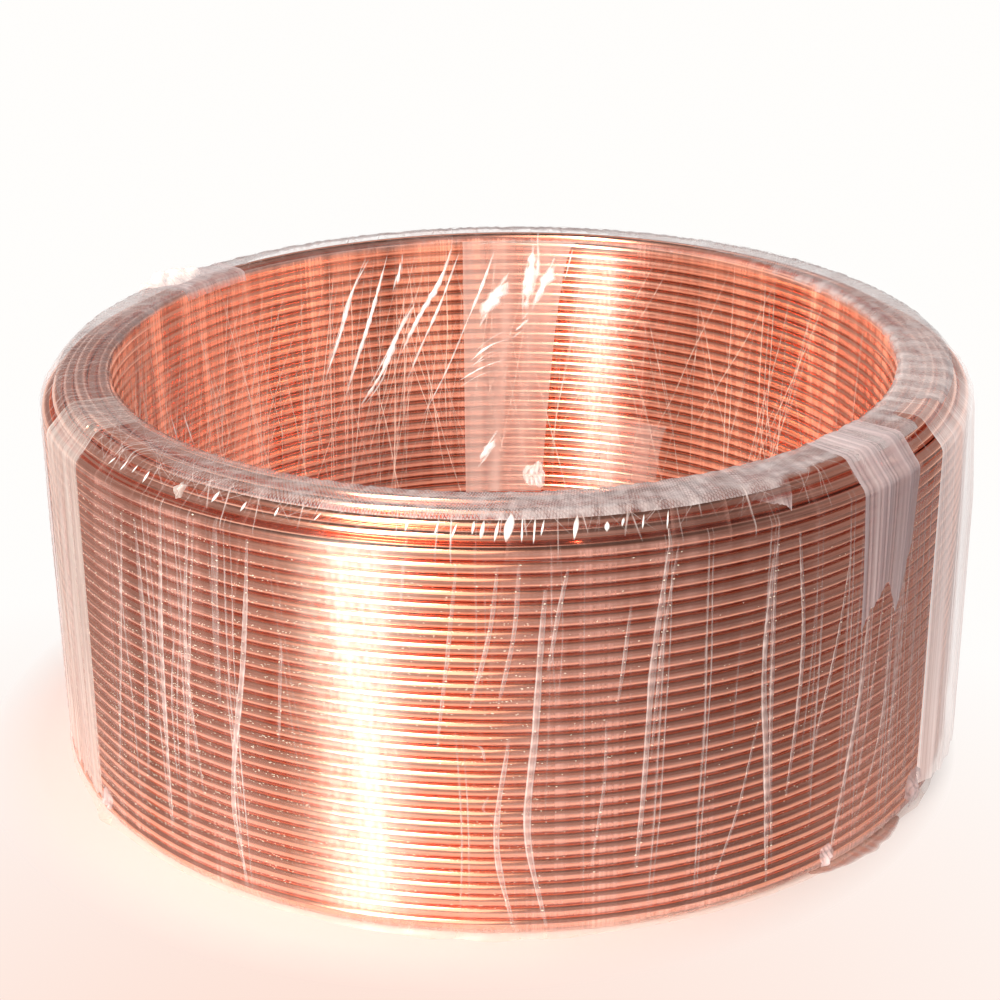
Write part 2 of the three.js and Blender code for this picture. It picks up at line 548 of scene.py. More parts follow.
# lengths along the wrap line at a height on the outer wall and on the bore wall
def outerAt(height):
    share = (height - coilLow[2]) / (layerCeiling(outermost) - coilLow[2])
    return outerLowAt + (outerHighAt - outerLowAt) * share


def boreAt(height):
    return boreHighAt + (boreLowAt - boreHighAt) * (coilHigh[2] - height) / (coilHigh[2] - coilLow[2])


# how closely the film follows the grooves; slack is where it hangs free of them: middle and half width in
# degrees, and how free
gripLook = dict(most=0.85, fade=0.008, slack=((150, 38, 0.4), (-108, 18, 0.38)))


# which turn of tube lies under a place, and how closely the film follows it
def turnUnder(angle, along):
    here = np.mod(along, wrapLength) + 0 * angle
    height = wrapSection(here)[1]
    low = np.where(here < shoulderAt, layerFloor(outermost), layerFloor(0)) + tubeRadius
    turn = (height - low) / winding["turnPitch"] - angle / fullTurn + 0.5
    outerGrip = (here > outerLowAt) * np.clip((outerTopAt - here) / (outerTopAt - outerHighAt), 0, 1)
    grip = np.maximum(outerGrip, np.clip((here - boreHighAt) / gripLook["fade"], 0, 1))
    return turn, grip * (gripLook["most"] - swells(angle, gripLook["slack"]))


# 0 on a crest of tube and 1 in the groove between two
def inGroove(turn):
    return 0.5 - 0.5 * np.cos(fullTurn * turn)


# how milky the film is: thin on the walls, thicker near the foot and where the passes crowd together; each
# wall's milkier stretches are a middle and a half width in degrees, and how much is added
hazeLook = dict(
    outer=0.14,
    low=0.08,
    lowTo=0.13,
    bore=0.20,
    top=0.10,
    shoulder=0.04,
    underside=0.30,
    hem=0.16,
    uneven=0.7,
    boreMilk=((152, 34, 0.34), (106, 22, 0.14), (40, 30, 0.10), (14, 18, 0.14)),
    outerMilk=((-133, 14, 0.15), (-117, 9, -0.07), (-97, 7, -0.06), (-79, 13, 0.10), (-38, 14, 0.18)),
)


def filmHaze(angle, along):
    here = np.mod(along, wrapLength) + 0 * angle
    height = wrapSection(here)[1]
    patch = wander(angle, 71, 12, 3, 30, along, 9) * 0.5 + wander(angle, 72, 9, 40, 130, along, 14) * 0.3
    nearFoot = np.clip(1 - height / hazeLook["lowTo"], 0, 1)
    bore = hazeLook["bore"] + swells(angle, hazeLook["boreMilk"])
    outer = hazeLook["outer"] + swells(angle, hazeLook["outerMilk"]) + hazeLook["low"] * nearFoot
    underside, shoulder, top = (hazeLook[key] + 0 * here for key in ("underside", "shoulder", "top"))
    stretches = [here < outerLowAt, here < outerHighAt, here < shoulderAt, here < boreHighAt]
    haze = np.select(stretches, [underside, outer, shoulder, top], bore)
    hem = hazeLook["hem"] * band(here, outerLowAt - 0.02, outerLowAt + 0.012, 0.006)
    return np.clip(haze * (1 + hazeLook["uneven"] * patch) + hem, 0.02, 0.9)


# places on the rim that the film misses: the middle angle, the width, and the reach over the shoulder
bareLook = dict(places=((197, 0.118), (327, 0.034)), below=0.020, above=0.004, ragged=0.003)


def covered(angle, along):
    here = np.mod(along, wrapLength)
    ragged = bareLook["ragged"] * wander(angle, 74, 6, 30, 90, here, 60)
    shown = np.ones(np.broadcast(angle, along).shape, bool)
    for middle, width in bareLook["places"]:
        across = np.radians(np.abs(apart(angle, middle))) * outerRadius
        low, high = outerHighAt - bareLook["below"], shoulderAt - bareLook["above"]
        shown &= ~((across < width / 2 + ragged) & (here > low + ragged) & (here < high + ragged))
    return shown


# fold is the milky line along each edge of the ribbon; bounceGlow is the painted glow of the film in the bore;
# plain is a stretch low in the bore that stays clear and has less of that glow, as painted shade deep down,
# and gleam one where the painted glow is weaker under the painted highlight: middle and half width in degrees,
# and how much
passLook = dict(
    count=21,
    width=0.150,
    across=46,
    lift=0.0004,
    shingle=0.0006,
    ripple=0.00022,
    stray=0.012,
    fold=0.22,
    foldWidth=0.002,
    plain=((112, 32, 1),),
    plainTo=0.20,
    plainness=0.8,
    bounceGlow=0.86,
    gleam=((73, 9, 0.8),),
)


# where one loop of film is cut into rows: close together round the corners
def loopSteps():
    corners = [place + shift for place in wrapPlaces for shift in (-0.0035, -0.0017, 0, 0.0017, 0.0035)]
    walls = [np.linspace(*ends, 14)[1:-1] for ends in ((outerLowAt, outerHighAt), (boreHighAt, boreLowAt))]
    return np.unique(np.concatenate([corners, *walls, [0, boreHighAt - 0.011, boreHighAt - 0.022]]))


# the film goes round and round the section as one ribbon that creeps along the rim
def filmPasses():
    steps = loopSteps()
    along = np.concatenate([steps + loop * wrapLength for loop in range(passLook["count"])])[None, :]
    share = np.linspace(-0.5, 0.5, passLook["across"])[:, None]
    middle = fullTurn * along / (passLook["count"] * wrapLength)
    middle = middle + passLook["stray"] * wander(along / wrapLength, 83, 6, 1, 4)
    angle = middle + share * passLook["width"] / outerRadius
    ripple = wander(angle, 82, 14, 30, 150, along, 9)
    lift = passLook["lift"] + passLook["shingle"] * (share + 0.5) + passLook["ripple"] * ripple
    points = onFilm(angle, along, lift)
    fromEdge = (0.5 - np.abs(share)) * passLook["width"]
    patchy = np.clip(0.3 + 0.4 * wander(angle, 84, 7, 1, 9, along, 25), 0, 1)
    fold = np.exp(-fromEdge / passLook["foldWidth"]) * patchy
    overlap = passLook["width"] - fullTurn * outerRadius / passLook["count"]
    turn, grip = turnUnder(angle, along)
    inBore = np.mod(along, wrapLength) > boreHighAt
    low = np.clip(1 - wrapSection(along)[1] / passLook["plainTo"], 0, 1)
    plain = passLook["plainness"] * (low * swells(angle, passLook["plain"]))
    haze = filmHaze(angle, along) * np.clip(fromEdge / overlap, 0, 1) * (1 - plain * inBore)
    # the bore film's painted glow, weaker low down as painted shade and where the painted highlight runs
    bounceGlow = inBore * (passLook["bounceGlow"] - swells(angle, passLook["gleam"])) * (1 - plain)
    values = dict(haze=haze + passLook["fold"] * fold, turn=turn, grip=grip * (1 - fold), bounceGlow=bounceGlow)
    mapping = together(angle * outerRadius, along)
    return gridMesh("filmPasses", points, mapping, keep=covered(angle, along), values=values)


finishedFilm(filmPasses(), clearFilm)
print("film is wrapped")

# tables run round the rim as (angle in degrees, amount): how far in from the bore's edge the milky part starts
# and ends, how milky it is, how much painted shade darkens it and how open its slits are
rimLook = dict(
    around=1500,
    across=14,
    mapLayer=2,
    lift=0.0018,
    ripple=0.0004,
    overhang=0.004,
    ragged=0.0016,
    uneven=0.12,
    lip=0.4,
    lipWidth=0.0012,
    starts=((-180, 0), (30, -0.004), (45, 0.003), (67, 0.013), (80, 0.020), (97, 0.024), (127, 0.023),
            (139, 0.010), (150, 0.002), (165, -0.004), (180, -0.004)),
    ends=((-180, 0.056), (-160, 0.056), (-150, 0.024), (-138, 0.022), (-130, 0.040), (-118, 0.046),
          (-90, 0.041), (-75, 0.040), (-60, 0.046), (-57, 0.034), (-48, 0.030), (-46, 0.056), (-34, 0.056),
          (-32, 0.020), (-25, 0.020), (-23, 0.056), (180, 0.056)),
    depth=((-180, 0.66), (-158, 0.66), (-148, 0.48), (-122, 0.56), (-104, 0.70), (-84, 0.88), (-40, 0.92),
           (0, 0.84), (30, 0.74), (60, 0.56), (80, 0.90), (150, 0.90), (166, 0.60), (180, 0.66)),
    paintedShade=((-180, 1.0), (-160, 1.0), (-130, 0.5), (-110, 0.0), (160, 0.0), (180, 1.0)),
    open=((-180, 0.6), (-150, 0.80), (-100, 0.85), (-86, 0.55), (-40, 0.50), (-20, 0.70), (60, 0.60),
          (180, 0.6)),
)


def rimMilk(angle, along):
    ragged = rimLook["ragged"] * wander(angle, 75, 10, 12, 90)
    starts, ends, depth = (tableAt(angle, rimLook[key]) for key in ("starts", "ends", "depth"))
    return depth * band(boreHighAt - along, starts + ragged, ends + 1.5 * ragged, rimLook["ragged"])


# angles once round, as rows, and the same way measured along a radius for the map
def onceRound(steps, radius):
    angle = np.linspace(0, fullTurn, steps, endpoint=False)[:, None]
    return angle, np.arange(steps + 1)[:, None] * fullTurn / steps * radius


# the milky film where the passes cross, from the shoulder to just over the bore's edge
def rimFilm():
    angle, swept = onceRound(rimLook["around"], layerRadius(rimLook["mapLayer"]))
    along = np.linspace(shoulderAt - 0.004, boreHighAt + rimLook["overhang"], rimLook["across"])[None, :]
    lift = rimLook["lift"] + rimLook["ripple"] * (wander(angle, 76, 16, 40, 300, along * 3, 40) + 0.5)
    uneven = 1 + rimLook["uneven"] * wander(angle, 77, 9, 5, 60, along, 30)
    lip = rimLook["lip"] * np.exp(-((along - boreHighAt) / rimLook["lipWidth"]) ** 2)
    values = dict(haze=np.clip(rimMilk(angle, along) * uneven + lip, 0, 0.96))
    for label in ("open", "paintedShade"):
        values[label] = tableAt(angle, rimLook[label])
    points, mapping = onFilm(angle, along, lift), together(swept, along)
    return gridMesh("rimFilm", points, mapping, closedRows=True, values=values)


finishedFilm(rimFilm(), crossedFilm)

# spread is how far the hem runs out on the floor: (angle in degrees, metres)
hemLook = dict(
    around=720,
    across=9,
    top=0.009,
    clear=0.0014,
    haze=0.26,
    edge=0.06,
    spread=((-180, 0.001), (-152, 0.001), (-147, 0.007), (-141, 0.0015), (-112, 0.0015), (-98, 0.005),
            (-86, 0.004), (-76, 0.001), (-36, 0.001), (-32, 0.004), (-25, 0.001), (180, 0.001)),
)


# the film's loose hem, from the lowest turns out onto the floor
def filmHem():
    angle, swept = onceRound(hemLook["around"], outerRadius / 4)
    t = np.linspace(0, 1, hemLook["across"])[None, :]
    reach = tableAt(angle, hemLook["spread"]) * (1 + 0.30 * wander(angle, 61, 9, 9, 60))
    radius = outerRadius + hemLook["clear"] + np.maximum(reach, 0.001) * t ** 1.8
    height = coilLow[2] + hemLook["top"] * (1 - t) ** 1.3 * (1 + 0.25 * wander(angle, 63, 6, 8, 40))
    fine = wander(angle, 64, 10, 20, 120, t, 3)
    edge = hemLook["edge"] * np.exp(-(1 - t) / 0.06)
    haze = hemLook["haze"] * np.clip(t / 0.35, 0, 1) * (1 + 0.2 * fine) + edge
    points, mapping = roundAxis(radius, angle, height), together(swept, 0.02 * t)
    return filmMesh("filmHem", points, mapping, haze, most=0.95, closedRows=True)


finishedFilm(filmHem(), hemFilm)

flapLook = dict(first=-53.0, last=-35.5, reach=0.0105, tuck=0.003, height=0.0006, haze=0.93)


# painted shadow: a torn flap of the hem lying on the floor, dark film that stands for the coil's contact
# shadow there
def shadowFlap():
    share = np.linspace(0, 1, 70)[:, None]
    t = np.linspace(0, 1, 6)[None, :]
    angle = np.radians(flapLook["first"] + (flapLook["last"] - flapLook["first"]) * share)
    ragged = 1 + 0.06 * wander(share * 7, 67, 6, 1, 7)
    reach = flapLook["reach"] * np.sin(math.pi * share) ** 0.6 * ragged
    radius = outerRadius - flapLook["tuck"] + (reach + flapLook["tuck"]) * t
    haze = flapLook["haze"] * np.clip((1 - t) / 0.25, 0.25, 1)
    points = roundAxis(radius, angle, coilLow[2] + flapLook["height"])
    return filmMesh("shadowFlap", points, together(angle * outerRadius, radius), haze)


finishedFilm(shadowFlap(), shadeFilm)
print("rim and hem are covered")

# a section says how solid a strand is across its width, as (place, share): one line, a filled fold, or a flat
# pleat with two edges; press is how far it sinks into each groove, and dots how much fainter it is there
strandLook = dict(
    perTurn=6,
    stand=0.0009,
    press=0.0004,
    dots=0.30,
    rough=0.2,
    thread=((-1.0, 0), (0.0, 1), (1.0, 0)),
    fold=((-1.0, 0), (-0.55, 1), (0.0, 1), (0.55, 1), (1.0, 0)),
    pleat=((-1.0, 0), (-0.75, 1), (-0.4, 0.5), (0.4, 0.5), (0.75, 1), (1.0, 0)),
)


# a smooth line through a few knots, at lengths along it
def curveThrough(knots, reach, at):
    slopes = np.gradient(knots, reach, axis=0)
    i = np.clip(np.searchsorted(reach, at, side="right") - 1, 0, len(reach) - 2)
    span = (reach[i + 1] - reach[i])[:, None]
    u = (at - reach[i])[:, None] / span
    start = (2 * u ** 3 - 3 * u ** 2 + 1) * knots[i] + (u ** 3 - 2 * u ** 2 + u) * span * slopes[i]
    return start + (3 * u ** 2 - 2 * u ** 3) * knots[i + 1] + (u ** 3 - u ** 2) * span * slopes[i + 1]


# film drawn into a thin line through places given as (angle in degrees, length along the wrap line); a rough
# strand varies more quickly and thins out sooner at its ends
def strandMesh(name, path, width, strength, seed, stand=strandLook["stand"], press=0.0, section="thread",
               sway=0.0004, uneven=0.12, perTurn=strandLook["perTurn"]):
    knots = np.array(path, float)
    knots[:, 0] = np.radians(knots[:, 0]) * outerRadius
    reach = np.concatenate([[0], np.cumsum(np.hypot(*np.diff(knots, axis=0).T))])
    steps = max(14, int(reach[-1] / winding["turnPitch"] * perTurn))
    at = np.linspace(0, reach[-1], steps)
    line = curveThrough(knots, reach, at)
    angle, along = line[None, :, 0] / outerRadius, line[None, :, 1]
    at, t = at[None, :], np.linspace(0, 1, steps)[None, :]
    share, solid = (row[:, None] for row in np.array(strandLook[section]).T)
    rough = uneven > strandLook["rough"]
    taper = np.sin(math.pi * np.clip(t, 0.015, 0.985)) ** (0.7 if rough else 0.3)
    middle = angle + sway * wander(at * 14, seed, 4, 1, 4) / outerRadius
    thick = width * taper * (1 + uneven * wander(at * (140 if rough else 40), seed + 7, 5, 1, 4))
    turn, grip = turnUnder(middle, along)
    hollow = grip * inGroove(turn)
    lift = stand + 0.25 * thick * (1 - np.abs(share)) - press * hollow
    points = onFilm(middle + share * thick / 2 / outerRadius, along, lift)
    broken = np.clip(0.92 + 0.16 * wander(at * 60, seed + 5, 6, 1, 6), 0.3, 1.1)
    shown = strength * solid * broken * taper * (1 - (strandLook["dots"] if press else 0) * hollow)
    return filmMesh(name, points, together(share * width / 2 + angle * outerRadius, along), shown)


# strands down the outer wall: width, strength, and places from the top as (angle in degrees, height)
drawnStrands = (
    (0.0034, 0.90, ((-86.0, 0.265), (-87.1, 0.165), (-87.9, 0.075), (-86.1, 0.004))),
    (0.0022, 0.60, ((-83.6, 0.280), (-84.9, 0.240), (-85.8, 0.205))),
    (0.0030, 0.80, ((-72.8, 0.300), (-74.4, 0.217), (-75.5, 0.100), (-76.2, 0.040))),
    (0.0018, 0.55, ((-72.0, 0.290), (-73.9, 0.200), (-74.6, 0.130))),
    (0.0018, 0.55, ((-77.0, 0.250), (-78.5, 0.175))),
    (0.0016, 0.50, ((-79.6, 0.165), (-79.7, 0.125), (-81.0, 0.050))),
    (0.0028, 0.75, ((-89.9, 0.155), (-91.2, 0.060), (-89.6, 0.003))),
    (0.0022, 0.55, ((-88.7, 0.285), (-89.3, 0.233), (-91.0, 0.180))),
    (0.0020, 0.55, ((-90.9, 0.283), (-91.6, 0.240), (-94.0, 0.175))),
    (0.0018, 0.50, ((-95.0, 0.283), (-96.0, 0.225), (-97.5, 0.140))),
    (0.0032, 0.90, ((-60.8, 0.265), (-61.4, 0.200), (-60.6, 0.110), (-59.9, 0.008))),
    (0.0020, 0.70, ((-60.2, 0.295), (-60.4, 0.230), (-60.0, 0.105), (-59.2, 0.020))),
    (0.0026, 0.80, ((-57.4, 0.280), (-56.3, 0.200), (-56.5, 0.140), (-57.6, 0.075))),
    (0.0014, 0.60, ((-61.6, 0.150), (-64.3, 0.070), (-67.5, 0.010))),
    (0.0022, 0.65, ((-49.5, 0.250), (-50.6, 0.200), (-53.9, 0.100))),
    (0.0036, 0.90, ((-45.5, 0.200), (-46.6, 0.127), (-48.2, 0.070), (-50.2, 0.008))),
    (0.0026, 0.65, ((-40.8, 0.200), (-42.8, 0.070), (-46.0, 0.022))),
    (0.0020, 0.55, ((-43.0, 0.215), (-44.4, 0.120), (-46.4, 0.050))),
    (0.0018, 0.50, ((-36.5, 0.280), (-38.2, 0.170), (-40.6, 0.050))),
    (0.0024, 0.60, ((-137.0, 0.275), (-139.7, 0.160), (-142.4, 0.050))),
    (0.0036, 0.55, ((-134.6, 0.275), (-134.5, 0.190), (-136.0, 0.060))),
    (0.0030, 0.80, ((-129.9, 0.296), (-131.3, 0.199), (-132.2, 0.030))),
    (0.0022, 0.60, ((-125.8, 0.295), (-127.6, 0.190), (-126.4, 0.070))),
    (0.0018, 0.55, ((-125.0, 0.290), (-126.9, 0.190), (-128.6, 0.090))),
    (0.0040, 0.40, ((-121.9, 0.295), (-122.8, 0.220), (-123.0, 0.150))),
    (0.0030, 0.85, ((-117.9, 0.285), (-119.2, 0.200), (-121.9, 0.060), (-120.8, 0.006))),
    (0.0018, 0.45, ((-114.4, 0.215), (-115.4, 0.130))),
    (0.0018, 0.40, ((-100.2, 0.300), (-100.9, 0.245))),
    (0.0012, 0.70, ((-97.0, 0.2875), (-90.0, 0.2870), (-84.0, 0.2850), (-77.0, 0.2825))),
    (0.0012, 0.55, ((-92.0, 0.110), (-92.6, 0.098), (-91.2, 0.092))),
    (0.0014, 0.60, ((-94.2, 0.150), (-92.9, 0.148), (-92.4, 0.136))),
)
# more thin strands at random: how many on each stretch of (first, last) angle
looseStrands = dict(
    stretches=((-180, -122, 44), (-122, -50, 16), (-50, -28, 46), (-28, 180, 44)),
    seed=5,
    width=(0.0012, 0.0032),
    strength=(0.25, 0.65),
    lean=1.4,
)


def outerStrandMeshes():
    parts = []
    for index, (width, strength, path) in enumerate(drawnStrands):
        lie = [(angle, outerAt(height)) for angle, height in path]
        parts.append(strandMesh(f"drawn{index}", lie, width * 1.6, strength, 500 + index,
                                press=strandLook["press"], section="pleat"))
    picks = np.random.default_rng(looseStrands["seed"])
    for index, angle in enumerate(scattered(picks, looseStrands["stretches"])):
        high = picks.choice([0.296, picks.uniform(0.16, 0.29)])
        low = picks.choice([0.004, picks.uniform(0.02, high - 0.06)])
        lean = picks.normal(0, looseStrands["lean"]) * (high - low) / 0.3
        bend = picks.normal(0, 0.25)
        width, strength = strandSize(looseStrands, picks.uniform(0, 1) ** 1.5)
        for twin in range(picks.choice([1, 2, 2])):
            gap = twin * picks.uniform(0.5, 1.0)
            path = [
                (angle + gap, outerAt(high)),
                (angle + gap + lean * 0.5 + bend, outerAt((high + low) / 2)),
                (angle + lean + gap * picks.uniform(0.2, 1.2), outerAt(low)),
            ]
            seed = 600 + 2 * index + twin
            parts.append(strandMesh(f"loose{index}", path, width * (1 - 0.3 * twin), strength, seed,
                                    press=strandLook["press"]))
    return joined("outerStrands", parts)


finishedFilm(outerStrandMeshes(), strandFilm)

# strands on the bore wall lean by these degrees over 0.25 m of height, each as often as its share
boreStrands = dict(
    stretches=((-180, 20, 80), (20, 100, 100), (100, 180, 210)),
    seed=6,
    width=(0.0008, 0.0017),
    strength=(0.30, 0.80),
    lean=(10, -11, 1.5, 20),
    leanShares=(0.30, 0.30, 0.25, 0.15),
    perTurn=3.5,
)


def boreStrandMeshes():
    picks = np.random.default_rng(boreStrands["seed"])
    parts = []
    for index, angle in enumerate(scattered(picks, boreStrands["stretches"])):
        high, low = picks.choice([0.302, picks.uniform(0.18, 0.30)]), picks.uniform(0.005, 0.14)
        lean = picks.choice(boreStrands["lean"], p=boreStrands["leanShares"])
        lean = lean * picks.uniform(0.6, 1.3) * (high - low) / 0.25
        width, strength = strandSize(boreStrands, picks.uniform(0, 1) ** 1.5)
        path = [(angle, boreAt(high)), (angle + lean, boreAt(low))]
        parts.append(strandMesh(f"bore{index}", path, width, strength, 900 + index, press=strandLook["press"],
                                sway=0.0010, perTurn=boreStrands["perTurn"]))
    return joined("boreStrands", parts)


rimStrands = dict(count=150, seed=7, width=(0.0010, 0.0022), strength=(0.2, 0.6))
# fine threads crossing on the rim: how many on each stretch of (first, last) angle
rimThreads = dict(
    stretches=((-180, -110, 130), (-110, -30, 60), (-30, 70, 90), (70, 180, 70)),
    seed=9,
    width=(0.0006, 0.0010),
    strength=(0.25, 0.60),
    lean=(9.0, -9.0, 16.0, -16.0, 3.0),
)


# short ties of film over the shoulder, from the rim to the wall, and the threads
def rimStrandMeshes():
    picks = np.random.default_rng(rimStrands["seed"])
    parts = []
    for index in range(rimStrands["count"]):
        angle = 360 * (index + picks.uniform(0, 1)) / rimStrands["count"]
        start = picks.uniform(outerHighAt - 0.012, shoulderAt - 0.010)
        end = picks.uniform(shoulderAt, boreHighAt + 0.004)
        width, strength = strandSize(rimStrands, picks.uniform(0, 1) ** 2)
        path = [(angle, start), (angle + picks.normal(0, 1.0), end)]
        parts.append(strandMesh(f"rim{index}", path, width, strength, 1200 + index, stand=0.0014))
    picks = np.random.default_rng(rimThreads["seed"])
    for index, angle in enumerate(scattered(picks, rimThreads["stretches"])):
        start, end = outerTopAt + picks.uniform(0, 0.006), boreHighAt + picks.uniform(0, 0.003)
        lean = picks.choice(rimThreads["lean"]) * picks.uniform(0.6, 1.4)
        width, strength = (picks.uniform(*rimThreads[key]) for key in ("width", "strength"))
        path = [(angle, start), (angle + lean, end)]
        parts.append(strandMesh(f"thread{index}", path, width, strength, 2200 + index, stand=0.0024,
                                sway=0.0008))
    return joined("rimStrands", parts)


finishedFilm(boreStrandMeshes(), boreThread)
finishedFilm(rimStrandMeshes(), strandFilm)
print("strands are drawn")

# bright creases on the shoulder, painted highlights in glowing white film: (angle in degrees, length, width)
shoulderGlints = (
    (-93.5, 0.010, 0.0022), (-92.6, 0.013, 0.0030), (-91.2, 0.015, 0.0022), (-90.0, 0.019, 0.0068),
    (-88.4, 0.018, 0.0018), (-87.2, 0.018, 0.0018), (-86.4, 0.012, 0.0014), (-83.0, 0.017, 0.0036),
    (-79.5, 0.007, 0.0030), (-77.8, 0.006, 0.0024), (-75.7, 0.010, 0.0018), (-73.1, 0.013, 0.0016),
    (-100.5, 0.009, 0.0018), (-97.4, 0.010, 0.0018), (-95.6, 0.010, 0.0016), (-110.6, 0.006, 0.0018),
    (-115.2, 0.007, 0.0018), (-119.4, 0.008, 0.0020), (-123.4, 0.009, 0.0026), (-128.8, 0.007, 0.0018),
    (-134.0, 0.010, 0.0020), (-136.4, 0.007, 0.0016), (-138.5, 0.010, 0.0020), (-141.0, 0.007, 0.0016),
)
# bright folds on the bore wall, painted highlights in glowing white film: (width, strength, places as angle in
# degrees and height)
boreFolds = (
    (0.0050, 1.00, ((113.8, 0.298), (117.2, 0.269), (119.3, 0.237), (123.2, 0.190))),
    (0.0052, 1.00, ((110.6, 0.297), (113.7, 0.247), (118.9, 0.174))),
    (0.0048, 1.00, ((108.2, 0.291), (108.9, 0.270))),
    (0.0068, 1.00, ((105.5, 0.253), (108.9, 0.224), (112.2, 0.188), (116.9, 0.155))),
    (0.0070, 1.00, ((98.8, 0.302), (101.0, 0.273), (105.6, 0.232), (108.3, 0.205))),
    (0.0036, 0.85, ((97.2, 0.301), (101.1, 0.250), (104.8, 0.208), (107.9, 0.172))),
    (0.0024, 0.65, ((95.0, 0.248), (100.5, 0.181), (105.2, 0.134))),
    (0.0040, 0.95, ((91.4, 0.298), (93.8, 0.262), (96.6, 0.228))),
    (0.0120, 1.00, ((84.6, 0.303), (85.2, 0.270), (86.2, 0.238))),
    (0.0130, 1.00, ((80.8, 0.284), (83.0, 0.262), (84.6, 0.244))),
    (0.0200, 1.00, ((89.0, 0.268), (91.4, 0.252), (94.2, 0.232))),
    (0.0060, 1.00, ((88.8, 0.212), (92.4, 0.205), (96.0, 0.190))),
    (0.0050, 1.00, ((89.4, 0.192), (93.8, 0.184), (98.3, 0.171))),
    (0.0110, 1.00, ((91.6, 0.112), (94.6, 0.090))),
    (0.0070, 1.00, ((85.6, 0.231), (88.0, 0.219))),
    (0.0028, 0.90, ((96.8, 0.302), (90.0, 0.3035), (83.5, 0.302), (77.4, 0.301))),
    (0.0022, 0.80, ((77.6, 0.301), (79.2, 0.268))),
    (0.0020, 0.80, ((160.5, 0.214), (158.4, 0.180))),
    (0.0024, 0.80, ((156.8, 0.212), (153.6, 0.170))),
)
# a wide fold has a fainter and narrower crease on each side of it
foldLook = dict(wide=0.004, apart=0.42, slip=0.009, narrower=0.42, fainter=0.8)


def brightFoldMeshes():
    parts = []
    for index, (angle, length, width) in enumerate(shoulderGlints):
        middle = (outerTopAt + shoulderAt) / 2 - 0.001 * (index % 3)
        path = [(angle, middle - length / 2), (angle + 0.2 + 0.15 * (index % 4), middle + length / 2)]
        parts.append(strandMesh(f"glint{index}", path, width, 1.0, 1500 + index, stand=0.0016, section="fold",
                                sway=0, uneven=0.22))
    for index, (width, strength, path) in enumerate(boreFolds):
        lie = [(angle, boreAt(height)) for angle, height in path]
        parts.append(strandMesh(f"fold{index}", lie, width, strength, 1600 + index, stand=0.0055,
                                section="fold", uneven=0.35))
        for side in (-1, 1) if width > foldLook["wide"] else ():
            beside = [(angle + side * foldLook["apart"] * (1 + k % 2), along + side * foldLook["slip"])
                      for k, (angle, along) in enumerate(lie)]
            parts.append(strandMesh(f"crease{index}", beside, width * foldLook["narrower"],
                                    strength * foldLook["fainter"], 1700 + 2 * index + side, stand=0.005,
                                    sway=0.0016, uneven=0.4))
    return joined("brightFolds", parts)


finishedFilm(brightFoldMeshes(), foldFilm)

# a painted highlight: where film lies open to the lamp, a long soft strip of glowing film stands for its
# gleam:
# the middle and half width in degrees
gleams = dict(
    outerGleam=dict(middle=-106.0, half=4.5, ends=(outerAt(0.004), outerTopAt), strength=0.50, seed=41),
    boreGleam=dict(middle=73.2, half=3.6, ends=(boreHighAt + 0.002, boreAt(0.02)), strength=0.55, seed=42),
)
gleamLook = dict(across=40, rows=260, lift=0.0016, stray=0.006, uneven=0.16, fade=0.012, grooves=0.55)


def gleamMesh(name, middle, half, ends, strength, seed):
    share = np.linspace(-2.0, 2.0, gleamLook["across"])[:, None]
    along = np.linspace(*ends, gleamLook["rows"])[None, :]
    angle = np.radians(middle + share * half) + gleamLook["stray"] * wander(along * 30, seed, 5, 1, 4)
    hollow = inGroove(turnUnder(angle, along)[0])
    uneven = 1 + gleamLook["uneven"] * wander(angle, seed + 10, 9, 20, 90, along, 40)
    fade = np.clip(np.minimum(along - ends[0], ends[1] - along) / gleamLook["fade"], 0, 1)
    haze = strength * np.exp(-share ** 2) * (1 - gleamLook["grooves"] * hollow) * uneven * fade
    return filmMesh(name, onFilm(angle, along, gleamLook["lift"]), together(angle * outerRadius, along), haze)


for name, look in gleams.items():
    finishedFilm(gleamMesh(name, **look), gleamFilm)

# painted glints: specks of glowing film where film puckers between the crests, as counts for stretches of
# (first, last) angle; and beads of it where a drawn strand crosses a crest
speckLook = dict(
    stretches=((-150, -108, 2200), (-108, -84, 500), (-84, -30, 260), (-30, 210, 1200)),
    seed=8,
    stand=0.0013,
    haze=0.8,
    long=(0.0003, 0.0010),
    wide=(0.00015, 0.0003),
    lean=(0.0, 0.12, 0.9),
    leanShares=(0.6, 0.3, 0.1),
    beadShare=0.6,
    beadDrop=0.0006,
    beadLong=(0.0005, 0.0011),
    beadWide=(0.0003, 0.0005),
)


# the height at an angle of one turn's crest on the outer wall
def crestAt(turn, angle):
    swept = turn + np.mod(angle, fullTurn) / fullTurn - 0.5
    return layerFloor(outermost) + tubeRadius + swept * winding["turnPitch"]


def speckPlaces(picks):
    angle = np.radians(np.concatenate([picks.uniform(a, b, count) for a, b, count in speckLook["stretches"]]))
    turns = (layerCeiling(outermost) - layerFloor(outermost)) / winding["turnPitch"] - 2
    turn = np.floor(picks.uniform(1, turns, len(angle))) + 0.4
    return angle, crestAt(turn, angle) + picks.normal(0, 0.0008, len(angle))


def beadPlaces(picks):
    angles, heights = [], []
    for _, _, path in drawnStrands:
        angle, height = np.array(path)[::-1].T
        steps = np.arange(height[0], height[-1], winding["turnPitch"])
        angle = np.radians(np.interp(steps, height, angle))
        turn = np.round((steps - crestAt(0, angle)) / winding["turnPitch"])
        shown = picks.uniform(0, 1, len(steps)) < speckLook["beadShare"]
        angles.append(angle[shown] + picks.normal(0, 0.003, shown.sum()))
        heights.append(crestAt(turn, angle)[shown] - speckLook["beadDrop"])
    return np.concatenate(angles), np.concatenate(heights)


